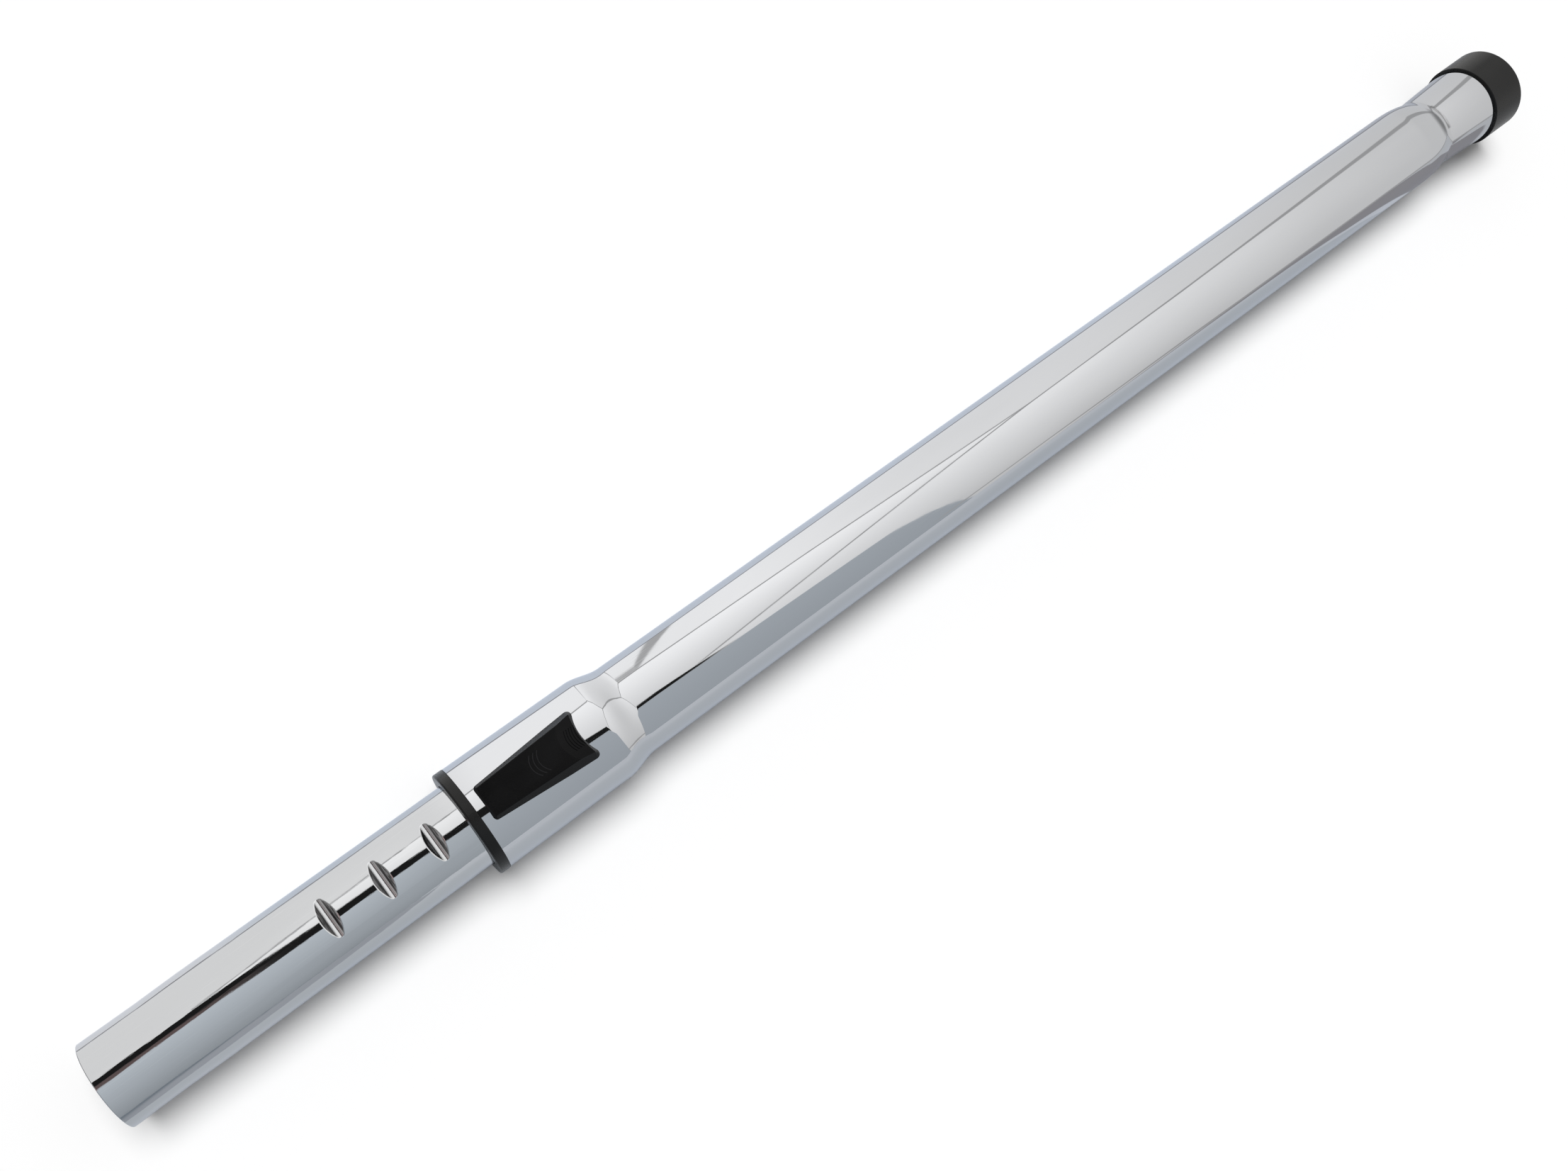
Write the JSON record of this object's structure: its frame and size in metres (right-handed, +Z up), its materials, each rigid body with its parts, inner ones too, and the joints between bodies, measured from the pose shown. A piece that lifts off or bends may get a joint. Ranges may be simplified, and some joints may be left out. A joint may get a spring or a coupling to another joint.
{
  "type": "telescopic vacuum wand",
  "caption": "Telescopic chromed steel wand for a vacuum cleaner: a notched inner tube slides in an outer tube with a collared socket, and a sliding button frees the latch.",
  "frame": {"origin": "centre of the upper socket's mouth, where the hose handle goes in", "axes": "+X along the wand out of the upper socket, +Z up through the slide button, and the lower end at -X"},
  "size_m": [0.7, 0.0408, 0.0437],
  "materials": {
    "chromed_steel": "polished",
    "black_plastic": "satin",
    "black_button": "satin, fine grain",
    "white_plastic": "satin",
    "grey_felt": "matt",
    "black_rubber": "matt",
    "spring_steel": "drawn wire",
    "latch_steel": "satin"
  },
  "bodies": {
    "wand_body": {"outer_tube": "chromed_steel", "top_collar": "black_plastic", "end_ring": "black_plastic", "wiper_ring": "grey_felt", "guide_sleeve": "white_plastic", "latch_pin": "spring_steel", "latch_spring": "spring_steel", "spring_rivet": "spring_steel", "return_spring_left": "spring_steel", "return_spring_right": "spring_steel"},
    "sliding_tube": {"inner_tube": "chromed_steel", "rear_bush": "white_plastic", "rear_seal": "black_rubber"},
    "button": {"slide_button": "black_button", "button_retainer": "white_plastic"},
    "latch": {"latch_rocker": "latch_steel"}
  },
  "joints": [
    {"name": "telescope", "type": "slide", "parent": "wand_body", "child": "sliding_tube", "axis": [-1, 0, 0], "range_m": [-0.07, 0.31]},
    {"name": "button_slide", "type": "slide", "parent": "wand_body", "child": "button", "axis": [1, 0, 0], "range_m": [-0.005, 0], "stiffness_N_per_m": 400, "springref_m": 0.004, "deforming": ["return_spring_left", "return_spring_right"]},
    {"name": "latch_rock", "type": "hinge", "parent": "wand_body", "child": "latch", "pos_m": [-0.54, 0, 0.0175], "axis": [0, 1, 0], "range_deg": [0, 2.1], "deforming": ["latch_spring"]}
  ],
  "couplings": [
    {"joint": "latch_rock", "follows": "button_slide", "rad_per_m": -7.2305}
  ]
}
